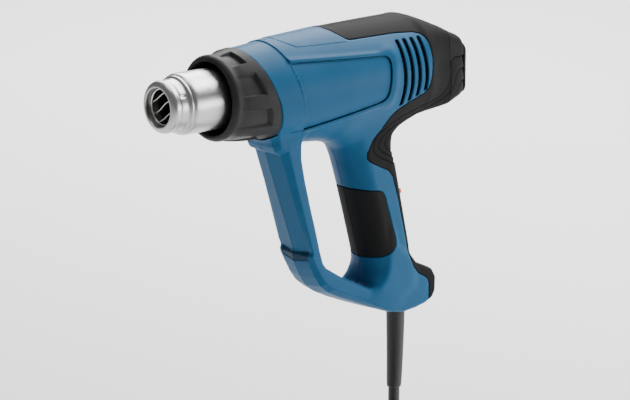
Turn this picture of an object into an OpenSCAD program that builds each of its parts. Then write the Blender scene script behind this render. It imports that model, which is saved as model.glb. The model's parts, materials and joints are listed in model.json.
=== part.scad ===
// Corded heat gun with a closed D-handle, a removable heat guard and a three-stage
// switch. Millimetres, +Z up, nozzle towards -X, symmetry plane Y = 0.
// The origin is the centre of the hand grip. The modules are drawn from the centre of
// the nozzle's mouth, and in_gun() moves them to the grip.

/* [Nozzle] */
// Outer radius of the spigot that push-on nozzles fit
spigot_r = 17; // [15:0.5:18]
// Length of the spigot behind the rolled lip
spigot_len = 10.8; // [8:0.1:12]
// Outer radius of the steel barrel tube
tube_r = 20; // [19:0.25:20.5]
// Radius of the open mouth
mouth_r = 12; // [10:0.5:13]

/* [Heat guard] */
// Radius of the guard's front lip
guard_front_r = 27.5; // [26.5:0.5:29]
// Angle by which the guard's rear seam leans forward at the top
seam_lean = 20; // [10:1:25]
// Number of pockets around the guard
pocket_count = 8; // [6:1:10]

/* [Housing] */
// Barrel radius at the guard's seam
barrel_front_r = 31.5; // [30:0.5:32]
// Barrel radius at the side vents
barrel_rear_r = 36; // [35:0.5:37]
// Thickness of the soft skin over the housing
skin = 1.2; // [1:0.1:1.5]
// Distance from the outer surface to the hollow inside
wall = 3; // [2.8:0.1:3.2]
// Half of the grip's width
grip_half_w = 19; // [18:0.5:20]
// Half of the guard bar's width
bar_half_w = 17; // [15:0.5:18]
// Number of vent slots on each side
vent_count = 4; // [3:1:4]

/* [Controls] */
// Travel of the stage switch along the grip
switch_travel = 9; // [6:0.5:10]
// Travel of each temperature button
button_travel = 0.8; // [0.5:0.1:1]

/* [Fan] */
// Number of impeller blades
blade_count = 9; // [7:1:11]
// Impeller radius
fan_r = 26; // [24:0.5:26.5]

/* [Mains lead] */
// Diameter of the lead
cord_d = 8; // [7.5:0.1:8]
// Length of the tapered strain relief below the handle
relief_len = 56; // [40:1:58]
// Turns side by side in each layer of the stored coil
coil_columns = 5; // [4:1:5]

/* [Hidden] */
$fn = 64;
eps = 0.01;
gap = 0.3;

// Centre of the hand grip, seen from the mouth centre
grip_x = 176;
grip_z = -95;

// Guard seam: where its plane crosses the barrel axis
seam_x = 74.5;
guard_front_x = 40;
guard_clear = 0.5;
socket_r = 24.5;

// Housing stations along the barrel axis
barrel_end_x = 208;
barrel_back_r = barrel_rear_r - 1.2;
vent_x = 179.8;
vent_pitch = 6.4;
vent_w = 3;
vent_low_z = -18.5;
vent_rise = 2.7;
rear_x = 246;
rear_z = -3.5;

// Back of the grip: a line that leans rearward as it goes down
back_lean = 12.7;
back_top = [187.5, -52];

// Handle outlines in the side view, [x, z]
neck_outline = [
    [112, -20], [112, -36], [130, -39.6], [139, -42.4], [146, -48.4], [150, -57],
    [151, -60], [189.3, -60], [187.5, -52], [185.6, -44], [188, -36.6], [194.5, -32.6],
    [208, -28.4], [208, -12]
];
grip_outline = [
    [147.5, -50.5], [150, -57], [155.5, -74], [170.4, -125], [171.6, -134], [170, -144],
    [186, -150], [207, -137], [203.5, -123], [187.5, -52]
];
heel_outline = [
    [152, -155], [160, -142.6], [166, -145.6], [171, -146.6], [171, -125], [203.2, -125],
    [206.5, -137], [222, -143], [225.6, -148.5], [225.4, -159], [222.5, -165], [217, -168.6],
    [208, -170.4], [197, -170], [187, -167.8], [172, -162.6], [157, -156.8]
];
lower_bar_outline = [
    [122, -112], [125, -120.4], [128, -124.6], [142, -133.4], [155, -140], [166, -145.6],
    [172, -147], [172, -162.6], [157, -156.8], [142, -150.6], [130.6, -145], [123.4, -139],
    [118, -131], [114.8, -122.5], [113, -113]
];
front_bar_outline = [
    [82, -20], [84, -37], [87, -42], [89, -43.6], [100.2, -76.4], [112.2, -110.6],
    [115, -119], [117, -125], [128, -124.6], [125, -120.4], [122.4, -112], [118.4, -96],
    [115, -84], [109.4, -62], [106.4, -47], [106.4, -20]
];
soft_outline = [
    [133, 50], [133.8, 35.5], [137, 32.6], [141, 29], [143.5, 28.2], [182, 28.2],
    [197, 27.2], [202, 25.8], [204.4, 23], [205.2, 19], [205.2, 12], [203, -4], [201.6, -9.5],
    [198.5, -12.6], [186, -17.4], [178, -21.8], [174, -26], [170.6, -35], [161.4, -50.5],
    [161.4, -54.6], [164, -57.4], [180, -65.2], [184, -69.6], [194.6, -107], [200, -129],
    [203.4, -136], [208.4, -141.6], [215, -145.2], [218, -149], [219, -180], [250, -180],
    [250, 50]
];
pad_outline = [
    [140, -69], [147, -73], [156, -76], [166, -77.4], [172, -78], [175.4, -79.4],
    [177.8, -83], [182.6, -98], [187, -113.4], [187.2, -118], [184.6, -122], [178, -125.6],
    [169, -127.4], [150, -127.5]
];

// Screws through the housing, [x, z]
screw_points = [
    [128, -131.5], [109.3, -85], [97, -38], [166, -58], [180, -137], [214, -157], [192, -27]
];
screw_r = 1.5;
screw_len = 18;

// Places down the back of the grip
display_at = 17;
switch_at = 40;
key_points = [58, 70];

// Fan and shroud along the barrel axis, and radii where inner parts sit in one another
shroud_x = 110;
fan_x = 116;
socket_flange_r = 27;
shroud_r = 29;
motor_r = 14.5;
shaft_r = 1.5;
vane_r = 22.5;
wire_gap = 14;

// Mains lead: route of the uncoiled stretch, seen from the mouth centre
cord_x = 204;
lead_core_r = cord_d / 2 - 0.2;
handle_bottom_z = -170;
floor_z = -275;
coil_pitch = cord_d + 0.1;
coil_in_r = 31.6;
coil_out_r = coil_in_r + (coil_columns - 1) * coil_pitch;
coil_h = cord_d + coil_pitch;
coil_at = [122, -coil_out_r];
plug_x = 60;
plug_y = 5;
plug_len = 34;
plug_h = 26;
pin_len = 19;
cord_route = [
    [204, 0, -226], [204, 0, -232], [203.6, 0, -240], [201.6, 0, -248], [198, 0, -255],
    [193, 0, -261.5], [186.5, 0, -266.5], [179, 0, -269.8], [171, 0, -271], [163, 0, -271],
    [155, 0, -271], [147, 0, -271], [139, 0, -271], [131, 0, -271], [122, 0, -271]
];
tail_route = [
    [122, 0, -262.9], [112, 0.5, -263.5], [102, 1.5, -266], [92, 3, -269], [82, 4, -270.6],
    [72, 4.6, -271], [60, 5, -271]
];

// ---------------------------------------------------------------- helpers

// Moves a shape drawn from the mouth centre to the row's frame
module in_gun() translate([-grip_x, 0, -grip_z]) children();

// Turns a shape drawn along Z so that it runs along the barrel axis from x
module along_barrel(x = 0) translate([x, 0, 0]) rotate([0, 90, 0]) children();

// Side-view outline, shrunk by g, as a slab of the given half width
module side_slab(outline, half_w, g = 0)
    rotate([90, 0, 0]) linear_extrude(height = 2 * (half_w - g), center = true)
        offset(delta = -g) polygon(outline);

// Puts a shape on the back of the grip: local x runs down it and local z out of it
module on_back(s, proud = 0) {
    a = back_lean;
    translate([
        back_top[0] + sin(a) * s + cos(a) * proud, 0,
        back_top[1] - cos(a) * s + sin(a) * proud
    ]) rotate([0, 90 - a, 0]) children();
}

// Keeps one side: -1 is the left half, +1 is the right half
module half(side) intersection() {
    children();
    translate([-20, side < 0 ? -100 : 0, -300]) cube([400, 100, 400]);
}

module tube(r_out, r_in, h) difference() {
    cylinder(r = r_out, h = h);
    translate([0, 0, -eps]) cylinder(r = r_in, h = h + 2 * eps);
}

module rounded_plate(w, d, h, r) linear_extrude(height = h) {
    square([w - 2 * r, d], center = true);
    square([w, d - 2 * r], center = true);
    for (sx = [-1, 1], sy = [-1, 1])
        translate([sx * (w / 2 - r), sy * (d / 2 - r)]) circle(r = r);
}

// Everything behind the slanted seam, moved rearward by d
module behind_seam(d = 0)
    translate([seam_x + d, 0, 0]) rotate([0, -seam_lean, 0])
        translate([0, -150, -400]) cube([500, 300, 800]);

// Everything under the guard, where the housing's chin reaches forward of the seam
module below_guard(g = 0) difference() {
    translate([70, -40, -60]) cube([40, 80, 60]);
    along_barrel(60) cylinder(r = barrel_front_r + 0.9 + g, h = 60);
}

// ---------------------------------------------------------------- housing form

// Outer form of the housing, shrunk by g
module gun_form(g = 0) {
    intersection() {
        along_barrel() rotate_extrude($fn = 128) polygon([
            [0, 50], [barrel_front_r - g, 50], [barrel_rear_r - g, 190],
            [barrel_rear_r - g, barrel_end_x - 5], [barrel_back_r - g, barrel_end_x - g / 2],
            [0, barrel_end_x - g / 2]
        ]);
        behind_seam(g);
    }
    side_slab(neck_outline, grip_half_w + 3, g);
    side_slab(grip_outline, grip_half_w, g);
    side_slab(heel_outline, grip_half_w, g);
    side_slab(lower_bar_outline, bar_half_w, g);
    intersection() {
        side_slab(front_bar_outline, bar_half_w, g);
        union() {
            behind_seam(g);
            below_guard(g);
        }
    }
}

module soft_region() side_slab(soft_outline, 60);
module pad_region() side_slab(pad_outline, 60);

// Openings that go right through the housing and its soft skin
module housing_cuts() {
    // Side vents, each in its own plane across the barrel
    for (i = [0:vent_count - 1])
        translate([vent_x + i * vent_pitch - vent_w / 2, -45, vent_low_z + i * vent_rise])
            cube([vent_w, 90, 43 - i * vent_rise]);
    // Display, switch slot and keys on the back of the grip
    on_back(display_at, -6) rounded_plate(20, 25, 12, 2);
    on_back(switch_at, -10) rounded_plate(24, 8, 16, 2);
    for (s = key_points) on_back(s, -8) rounded_plate(8.6, 14.6, 14, 2);
    // Open rear end of the barrel
    along_barrel(190) cylinder(r = 25.8, h = 40);
    // Steel tube's way in at the front
    along_barrel(50) cylinder(r = socket_r - 2, h = 50);
    // Strain relief's way out at the bottom
    translate([cord_x, 0, -190]) cylinder(r = 6.8, h = 40);
}

module housing(side) color("#2f6d98") in_gun() difference() {
    half(side) union() {
        difference() {
            gun_form(0);
            gun_form(wall);
        }
        // Socket that carries the heat guard
        intersection() {
            along_barrel(58) tube(socket_r, socket_r - 2, 36);
            behind_seam(-10);
        }
        bulkheads();
        screw_posts();
    }
    intersection() {
        difference() {
            gun_form(-2);
            gun_form(skin);
        }
        union() {
            soft_region();
            pad_region();
        }
    }
    housing_cuts();
    screw_shanks();
}

// Ribs inside the housing that hold the heater socket and the fan shroud
module bulkheads() difference() {
    union() {
        along_barrel(98) tube(barrel_front_r - 0.5, socket_flange_r, 3);
        along_barrel(126) tube(barrel_front_r, shroud_r, 3);
    }
    // Way through for the heater's wires
    translate([90, -wire_gap / 2, -40]) cube([50, wire_gap, 20]);
}

// Screw posts that reach the parting plane
module screw_posts() intersection() {
    gun_form(1);
    for (p = screw_points) translate([p[0], 60, p[1]]) rotate([90, 0, 0]) cylinder(r = 3.6, h = 120);
}

module left_housing() housing(-1);
module right_housing() housing(1);

module overmould(side) color("#33353a") in_gun() difference() {
    half(side) intersection() {
        difference() {
            gun_form(0);
            gun_form(skin);
        }
        soft_region();
    }
    housing_cuts();
    translate([barrel_end_x - skin, -60, -27]) cube([60, 120, 90]);
}
module left_overmould() overmould(-1);
module right_overmould() overmould(1);

module grip_pad(side) color("#2c2e33") in_gun() half(side) intersection() {
    difference() {
        gun_form(0);
        gun_form(skin);
    }
    pad_region();
}
module left_grip_pad() grip_pad(-1);
module right_grip_pad() grip_pad(1);

// ---------------------------------------------------------------- rear end

// Rounded section of the rear end, shrunk by g
module cap_section(x, top, low, half_y, r, g) translate([x, 0, (top + low) / 2])
    rotate([0, 90, 0]) rounded_plate(top - low - 2 * g, 2 * (half_y - g), 1, r, $fn = 32);

// Tapered rear end, shrunk by g, from the barrel's end to the rear face
module cap_form(g = 0) {
    hull() {
        along_barrel(barrel_end_x) cylinder(r = barrel_back_r - g, h = 1, $fn = 48);
        cap_section(220, 30.4, -25.8, 28.9, 14, g);
    }
    hull() {
        cap_section(220, 30.4, -25.8, 28.9, 14, g);
        cap_section(rear_x - 3, 19.6, -23.4, 26.4, 8, g);
    }
}

module rear_cap() color("#303236") in_gun() difference() {
    cap_form(0);
    difference() {
        cap_form(wall - 0.5);
        translate([rear_x - 6, -60, -60]) cube([20, 120, 120]);
    }
    // Window for the intake grille
    translate([rear_x - 7, 0, rear_z]) rotate([0, 90, 0]) rounded_plate(29, 42, 12, 4);
    // Stepped grooves along both sides
    for (z = [4.6, -3.4, -11.6], side = [-1, 1])
        translate([230, side * 27.6, z]) translate([0, -1.2, -0.35]) cube([20, 2.4, 0.7]);
}

module intake_grille() color("#1c1d1f") in_gun()
    translate([rear_x - 6, 0, rear_z]) rotate([0, 90, 0]) difference() {
        rounded_plate(28.6, 41.6, 2.5, 3.8);
        for (i = [-5:5]) translate([0, i * 3.4, 1]) cube([23, 1.8, 5], center = true);
    }

// Rubber frame that the gun stands on when it is set down on its back
module rest_ring() color("#26272a") in_gun()
    translate([rear_x - 2, 0, rear_z]) rotate([0, 90, 0]) difference() {
        rounded_plate(35, 48, 2, 6);
        translate([0, 0, -1]) rounded_plate(30, 43, 4, 4);
    }

// ---------------------------------------------------------------- heat guard and nozzle

module heat_guard() color("#3a3c40") in_gun() difference() {
    intersection() {
        along_barrel() rotate_extrude($fn = 128) polygon([
            [socket_r + gap, 100], [socket_r + gap, guard_front_x + 4],
            [socket_r, guard_front_x + 2], [guard_front_r - 1.6, guard_front_x],
            [guard_front_r - 0.4, guard_front_x + 0.8], [guard_front_r, guard_front_x + 2.5],
            [barrel_front_r - 1, 60], [barrel_front_r, 70], [barrel_front_r + 0.4, 100]
        ]);
        mirror([1, 0, 0]) translate([-2 * seam_x, 0, 0]) mirror([0, 0, 1]) behind_seam(guard_clear);
    }
    // Recessed pockets, each ending along the seam
    for (i = [0:pocket_count - 1]) rotate([(i + 0.5) * 360 / pocket_count, 0, 0])
        translate([47, 0, guard_front_r + 1.2]) rotate([0, -7, 0])
            linear_extrude(height = 8) polygon([[0, -5], [14, -7.2], [14, 7.2], [0, 5]]);
}

// Deep-drawn steel tube: rolled lip, spigot, shoulder bead, barrel
module nozzle_tube() color("#b9bcc0") in_gun() along_barrel() rotate_extrude($fn = 128)
    polygon([
        [mouth_r, 0.8], [mouth_r + 1.2, 0], [spigot_r - 1.4, 0.6], [spigot_r - 0.4, 1.4],
        [spigot_r, 2.2], [spigot_r, 2.2 + spigot_len], [spigot_r + 1.4, 13.6],
        [tube_r - 0.6, 14.6], [tube_r, 15.8], [tube_r, 96], [tube_r - 0.8, 96],
        [tube_r - 0.8, 16.4], [spigot_r - 0.8, 13.6], [spigot_r - 0.8, 2.4],
        [mouth_r + 0.8, 1.6], [mouth_r + 0.8, 10], [mouth_r, 10]
    ]);

// Three strips across the mouth, in a ring of their own
module mouth_bars() color("#d5d7da") in_gun() along_barrel(4) union() {
    tube(mouth_r - gap / 3, mouth_r - 1, 5);
    rotate([0, 0, 59]) intersection() {
        cylinder(r = mouth_r - 0.6, h = 4);
        for (y = [-6.5, 0, 6.5]) translate([0, y, 2]) cube([40, 0.8, 4], center = true);
    }
}

// ---------------------------------------------------------------- heater

module mica_sleeve() color("#c9b98a") in_gun()
    along_barrel(18) tube(tube_r - 0.9, tube_r - 1.7, 74);

module heater_core() color("#e6dfd0") in_gun() along_barrel(24) difference() {
    cylinder(r = 14, h = 62);
    for (i = [0:5]) rotate([0, 0, i * 60]) translate([8, 0, -1]) cylinder(r = 2.6, h = 70);
    translate([0, 0, -1]) cylinder(r = 2, h = 70);
}

module heater_windings() color("#8c7a6b") in_gun() along_barrel(28) for (i = [0:9])
    translate([0, 0, i * 5.6]) rotate_extrude() translate([14.9, 0]) circle(r = 0.8);

// Probe in the core's centre bore, its tip in the air stream behind the mouth
module thermocouple() color("#a8adb2") in_gun() along_barrel(17) cylinder(r = 1.2, h = 85);

// Ceramic socket that holds the core and funnels the air into the tube
module heater_socket() color("#d8cfba") in_gun() along_barrel(86) rotate_extrude() polygon([
    [8, 0], [17.6, 0], [17.6, 6], [18, 6.5], [18, 10.2], [socket_flange_r, 10.2],
    [socket_flange_r, 18], [28, 20], [28, 24], [26, 24], [25, 12.5], [15.5, 12.5], [15.5, 4], [8, 4]
]);

// ---------------------------------------------------------------- fan and motor

module fan_shroud() color("#202226") in_gun() along_barrel(shroud_x) {
    tube(shroud_r, fan_r + 1.2, 40);
    // Vanes that carry the motor's mount
    for (i = [0:5]) rotate([0, 0, i * 60 + 30]) translate([vane_r, -0.8, 33])
        cube([fan_r + 1.6 - vane_r, 1.6, 6]);
}

module impeller() color("#4b4f56") in_gun() along_barrel(fan_x) difference() {
    union() {
        cylinder(r = 8, h = 14);
        for (i = [0:blade_count - 1]) rotate([0, 0, i * 360 / blade_count])
            translate([6, 0, 7]) rotate([35, 0, 0]) translate([0, -0.6, -7])
                cube([fan_r - 6.6, 1.2, 14]);
    }
    translate([0, 0, -1]) cylinder(r = shaft_r, h = 20);
}

module motor_shaft() color("#c8cacd") in_gun() along_barrel(114) cylinder(r = shaft_r, h = 66);

module motor_can() color("#9a9da1") in_gun() along_barrel(138) difference() {
    cylinder(r = motor_r, h = 34);
    translate([0, 0, 1.5]) cylinder(r = 13.3, h = 40);
    translate([0, 0, -1]) cylinder(r = 4, h = 10);
}

module motor_end_plate() color("#3b3b3e") in_gun() along_barrel(172) tube(motor_r, 4, 3);

module motor_magnets() color("#55575b") in_gun() along_barrel(143) difference() {
    tube(13.2, 11, 22);
    for (a = [0, 90]) rotate([0, 0, a]) translate([-1.5, -20, -1]) cube([3, 40, 30]);
}

module armature() color("#a5673a") in_gun() along_barrel(144) difference() {
    union() {
        cylinder(r = 10.2, h = 19);
        translate([0, 0, 19 - eps]) cylinder(r = 4.5, h = 5);
    }
    for (i = [0:6]) rotate([0, 0, i * 360 / 7]) translate([9, -0.9, -1]) cube([4, 1.8, 21]);
    translate([0, 0, -1]) cylinder(r = shaft_r, h = 40);
}

module motor_bearings() color("#b08d57") in_gun() {
    along_barrel(137) tube(4, shaft_r + 0.03, 3);
    along_barrel(172) tube(4, shaft_r + 0.03, 3);
}

module motor_mount() color("#2a2c30") in_gun() along_barrel(142.2) {
    tube(17.5, motor_r, 9);
    for (i = [0:5]) rotate([0, 0, i * 60 + 30]) translate([17.2, -1.2, 0.8])
        cube([vane_r - 17.2, 2.4, 6]);
}

// ---------------------------------------------------------------- electronics

module control_board() color("#2f6b45") in_gun() translate([207, -17.5, -13]) cube([1.6, 35, 30]);

module board_parts() color("#54585e") in_gun() {
    translate([208.7, -14, -8]) cube([8, 12, 9]);
    translate([208.7, 6, 0]) rotate([0, 90, 0]) cylinder(r = 4.5, h = 11);
    translate([208.7, 6, -9]) rotate([0, 90, 0]) cylinder(r = 3, h = 8);
    translate([208.7, -12, 8]) cube([5, 6, 8]);
}

module heat_sink() color("#b4b7ba") in_gun() translate([208.7, -4, 5]) difference() {
    cube([14, 16, 12]);
    for (i = [0:3]) translate([2, 1.4 + i * 3.8, -1]) cube([14, 1.9, 20]);
}

module display_lens() color("#1a1d20") in_gun() on_back(display_at, -1.4)
    rounded_plate(19.4, 24.4, 1.6, 1.8);

module display_module() color("#8f9a86") in_gun() on_back(display_at, -5) rounded_plate(16, 22, 3.4, 1);

// Red slider of the three-stage switch, and the neck that goes through the slot
module switch_slider() color("#d8232a") in_gun() on_back(switch_at - switch_travel / 2 - 1) {
    translate([0, 0, 0.3]) rounded_plate(10, 18, 2.4, 2);
    translate([0, 0, 2.6]) rounded_plate(5.2, 17.2, 3, 1.5);
    translate([0, 0, -6]) rounded_plate(5, 6, 6.4, 1);
}

module switch_body() color("#2b2b2e") in_gun() on_back(switch_at, -18) difference() {
    rounded_plate(30, 20, 14, 1);
    translate([0, 0, 10.5]) rounded_plate(22, 8, 5, 1);
}

module button(s) on_back(s, -3) {
    rounded_plate(8, 14, 3 + button_travel, 1.8);
    translate([0, 0, -1.5]) cylinder(r = 1.5, h = 1.6);
}
module plus_button() color("#3f4247") in_gun() button(key_points[0]);
module minus_button() color("#3f4247") in_gun() button(key_points[1]);

module key_board() color("#2f6b45") in_gun() on_back(66.5, -8) rounded_plate(22, 18, 2, 1);

// ---------------------------------------------------------------- wires and fasteners

module motor_wires() color("#b5312c") in_gun() for (y = [-8, 8])
    swept([[175.1, y, 3], [178, y, 3], [186, y, 4], [198, y, 6], [203, y, 6], [206.9, y, 6]], 2, 8);

module heater_wires() color("#e8e4da") in_gun() for (y = [-4, 4]) swept([
    [106.5, y, -29.4], [114, y, -29.5], [120, y, -30.3], [127, y, -32], [134, y, -32.5],
    [160, y, -31.5], [176, y, -30], [184, y, -26], [190, y, -20], [197, y, -14.5],
    [203, y, -12], [206.9, y, -12]
], 1.2, 8);

// The lead's end, from the strain relief up to the clamp
module lead_end() color("#232427") in_gun()
    translate([cord_x, 0, cord_route[0][2]]) cylinder(r = lead_core_r, h = 82);

module cord_clamp() color("#3a3c40") in_gun() translate([cord_x, 0, -152]) difference() {
    translate([-6, -14, 0]) cube([12, 28, 5]);
    translate([0, 0, -1]) cylinder(r = lead_core_r, h = 8);
    for (y = [-1, 1]) translate([0, y * 10.5, -1]) cylinder(r = screw_r, h = 8);
}

module clamp_screws() color("#8d9196") in_gun() for (y = [-1, 1])
    translate([cord_x, y * 10.5, -154]) {
        cylinder(r = screw_r, h = 8);
        translate([0, 0, 7]) cylinder(r = 2.9, h = 1.8);
    }

// Shanks of the screws that join the two halves
module screw_shanks() for (p = screw_points)
    translate([p[0], screw_len / 2, p[1]]) rotate([90, 0, 0]) cylinder(r = screw_r, h = screw_len);

module housing_screws() color("#777b80") in_gun() screw_shanks();

// ---------------------------------------------------------------- mains lead

module strain_relief() color("#26272a") in_gun() translate([cord_x, 0, 0]) difference() {
    union() {
        translate([0, 0, handle_bottom_z - relief_len + 1])
            cylinder(r1 = 5, r2 = 6.4, h = relief_len + 3);
        translate([0, 0, handle_bottom_z + 3.9]) cylinder(r = 6.4, h = 13);
    }
    translate([0, 0, -260]) cylinder(r = lead_core_r, h = 120);
}

// Sweeps a round cord along a list of points
function unit(v) = v / norm(v);
function tangent(p, i) = unit(p[min(i + 1, len(p) - 1)] - p[max(i - 1, 0)]);
module swept(points, d, sides = 10) {
    n = len(points);
    rings = [for (i = [0:n - 1]) let (
        t = tangent(points, i), u = [0, 1, 0] - ([0, 1, 0] * t) * t,
        a = unit(u), b = cross(t, a)
    ) for (k = [0:sides - 1])
        points[i] + d / 2 * (cos(k * 360 / sides) * a + sin(k * 360 / sides) * b)];
    faces = [
        [for (k = [0:sides - 1]) k],
        [for (k = [sides - 1:-1:0]) (n - 1) * sides + k],
        for (i = [0:n - 2], k = [0:sides - 1]) [
            i * sides + k, (i + 1) * sides + k,
            (i + 1) * sides + (k + 1) % sides, i * sides + (k + 1) % sides
        ]
    ];
    polyhedron(rings, faces, convexity = 10);
}

module mains_cord() color("#232427") in_gun() swept(cord_route, cord_d);
module cord_tail() color("#232427") in_gun() swept(tail_route, cord_d);

module cord_coil() color("#232427") in_gun() translate([coil_at[0], coil_at[1], floor_z])
    rotate_extrude() translate([coil_in_r - cord_d / 2, 0])
        square([coil_out_r - coil_in_r + cord_d, coil_h]);

// Hook-and-loop strap round the turns
module coil_tie() color("#1d1e20") in_gun() translate([coil_at[0], coil_at[1], floor_z])
    rotate([0, 0, 200]) translate([coil_in_r - cord_d / 2 - 1.4, -7, 0]) difference() {
        cube([coil_out_r - coil_in_r + cord_d + 2.8, 14, coil_h + 1.4]);
        translate([1.4 - gap, -1, -1])
            cube([coil_out_r - coil_in_r + cord_d + 2 * gap, 16, coil_h + 1 + gap]);
    }

module plug_body() color("#1f2023") in_gun() translate([plug_x, plug_y, floor_z]) {
    translate([-plug_len, 0, plug_h / 2]) rotate([90, 0, 90]) rounded_plate(36, plug_h, 26, 10);
    translate([-10, 0, 0]) intersection() {
        translate([0, -18, 0]) cube([8, 36, plug_h]);
        translate([0, 0, plug_h / 2]) rotate([0, 90, 0]) cylinder(r1 = 18, r2 = 6, h = 8);
    }
    translate([-4, 0, 4.2]) rotate([0, 90, 0]) cylinder(r = 4.1, h = 4);
}

module plug_pins() color("#c9cbce") in_gun() for (y = [-9.5, 9.5])
    translate([plug_x - plug_len - pin_len, plug_y + y, floor_z + plug_h / 2])
        rotate([0, 90, 0]) cylinder(r = 2.4, h = pin_len);

left_housing();
right_housing();
left_overmould();
right_overmould();
left_grip_pad();
right_grip_pad();
rear_cap();
intake_grille();
rest_ring();
heat_guard();
nozzle_tube();
mouth_bars();
mica_sleeve();
heater_core();
heater_windings();
thermocouple();
heater_socket();
fan_shroud();
impeller();
motor_can();
motor_magnets();
motor_shaft();
armature();
motor_bearings();
motor_end_plate();
motor_mount();
control_board();
board_parts();
heat_sink();
display_lens();
display_module();
switch_slider();
switch_body();
plus_button();
minus_button();
key_board();
cord_clamp();
clamp_screws();
housing_screws();
motor_wires();
heater_wires();
lead_end();
strain_relief();
mains_cord();
cord_tail();
cord_coil();
coil_tie();
plug_body();
plug_pins();
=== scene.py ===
import json
import math

import bpy
import numpy as np
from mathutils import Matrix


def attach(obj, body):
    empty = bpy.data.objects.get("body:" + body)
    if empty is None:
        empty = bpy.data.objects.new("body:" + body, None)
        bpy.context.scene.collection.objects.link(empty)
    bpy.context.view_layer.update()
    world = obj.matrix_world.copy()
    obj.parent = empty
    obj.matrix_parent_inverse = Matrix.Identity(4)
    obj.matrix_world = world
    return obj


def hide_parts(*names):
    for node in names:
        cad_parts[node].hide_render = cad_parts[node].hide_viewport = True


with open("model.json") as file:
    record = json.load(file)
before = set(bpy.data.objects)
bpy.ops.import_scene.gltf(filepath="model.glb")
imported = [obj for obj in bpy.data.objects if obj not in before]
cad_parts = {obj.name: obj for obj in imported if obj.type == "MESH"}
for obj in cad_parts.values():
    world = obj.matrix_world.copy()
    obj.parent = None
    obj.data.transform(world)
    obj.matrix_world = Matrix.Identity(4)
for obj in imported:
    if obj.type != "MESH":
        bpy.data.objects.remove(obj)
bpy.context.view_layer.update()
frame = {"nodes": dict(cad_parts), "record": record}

import openvdb
from mathutils import Vector

# Shapes are drawn in millimetres from the centre of the nozzle's mouth: +X runs back
# along the barrel, +Z is up, and both sides are alike. row() moves them to the frame.
MM = 0.001
GRIP_X, GRIP_Z = 176.0, -95.0
CELL = 0.62
MOST_FACES = 190000

# Driving sizes, as in the part's CAD source
SPIGOT_R, TUBE_R, MOUTH_R = 17.0, 20.0, 12.0
SEAM_X, SEAM_LEAN = 74.5, math.radians(20)
BORE_R, BORE_END_X = 23.0, 100.0
GUARD_FRONT_X, GUARD_GAP, SOCKET_R, CHIN_R = 40.0, 0.45, 24.5, 32.4
REAR_X, CAP_FACE_X, CAP_Z, CAP_LOW_Z = 246.0, 227.0, -3.5, -27.0
# Above this height the housing ends at this X, and the skin goes on to the rear end cap
BLUE_END_X, BLUE_END_Z = 207.0, -60.0
WINDOW_X, WINDOW_HALF_W, WINDOW_HALF_H = 238.5, 21.3, 14.6
GRIP_HALF_W, BAR_HALF_W = 19.0, 17.0
SKIN, WALL, HALF_GAP = 1.3, 3.0, 0.05
VENT_X, VENT_PITCH, VENT_W, VENT_TOP_Z = 179.8, 6.4, 3.0, 24.6
# Lower end of each vent slot, how steeply that end climbs towards the slot's back, and how
# far from the middle plane the slots start
VENT_LOW_Z, VENT_CLIMB, VENT_FROM_W = (-18.5, -16.3, -13.5, -10.5), 0.35, 17.0
BACK_TOP, BACK_LEAN = (187.5, -52.0), math.radians(12.7)
CORD_D, CORD_X, FLOOR_Z = 8.0, 204.0, -275.0
LEAD_HOLE_R, LEAD_HOLE_TOP = 6.9, -150.0
LENS_AT, SLOT_AT, PLUS_AT, MINUS_AT = 17.0, 40.0, 58.0, 70.0
SLIDER_AT, SLIDER_HALF_W, RIDGE_OUT = 34.5, 9.6, 6.2
KEY_HALF_L, KEY_HALF_W, KEY_OUT = 4.0, 7.0, 0.8
LENS_HALF_L, LENS_HALF_W = 9.7, 12.2
# Openings in the back of the grip: place down it, length, width, depth
BACK_CUTS = (
    (LENS_AT, 20.6, 25.6, 3.2),
    (SLOT_AT, 24.0, 8.0, 8.0),
    (PLUS_AT, 8.6, 14.6, 8.0),
    (MINUS_AT, 8.6, 14.6, 8.0),
)


def row(p):
    """One point in millimetres as a place in the frame."""
    return Vector(((p[0] - GRIP_X) * MM, p[1] * MM, (p[2] - GRIP_Z) * MM))


def rows(points):
    """Many points in millimetres as places in the frame."""
    out = np.array(points, float)
    out[:, 0] -= GRIP_X
    out[:, 2] -= GRIP_Z
    return out * MM


def on_back(s):
    """X and Z of the point s down the back of the grip."""
    return BACK_TOP[0] + math.sin(BACK_LEAN) * s, BACK_TOP[1] - math.cos(BACK_LEAN) * s


def back_frame(x, z):
    """Distance down the back of the grip, and out from it."""
    a = BACK_LEAN
    s = (x - BACK_TOP[0]) * math.sin(a) - (z - BACK_TOP[1]) * math.cos(a)
    out = (x - BACK_TOP[0]) * math.cos(a) + (z - BACK_TOP[1]) * math.sin(a)
    return s, out


# ------------------------------------------------------------------ camera and lights

AZ, EL = math.radians(-41), math.radians(14)
CAMERA_FAR, LENS_LENGTH, SENSOR_WIDTH = 2.0, 171.8, 36.0
TARGET = row((131.47, 0, -81.38))
BACK = Vector((math.sin(AZ) * math.cos(EL), -math.cos(AZ) * math.cos(EL), math.sin(EL)))
cam = bpy.data.cameras.new("camera")
cam.lens, cam.sensor_width = LENS_LENGTH, SENSOR_WIDTH
cam.clip_start, cam.clip_end = 0.1, 20.0
camera = bpy.data.objects.new("camera", cam)
camera.location = TARGET + BACK * CAMERA_FAR
camera.rotation_euler = BACK.to_track_quat("Z", "Y").to_euler()
bpy.context.collection.objects.link(camera)
bpy.context.scene.camera = camera


def area_light(name, place, size, power, aim=(-0.03, 0, 0.02)):
    """Soft box at a place, turned towards a point."""
    data = bpy.data.lights.new(name, "AREA")
    data.shape, data.size, data.size_y = "RECTANGLE", size[0], size[1]
    data.energy = power
    lamp = bpy.data.objects.new(name, data)
    lamp.location = place
    lamp.rotation_euler = (Vector(place) - Vector(aim)).to_track_quat("Z", "Y").to_euler()
    bpy.context.collection.objects.link(lamp)


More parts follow.
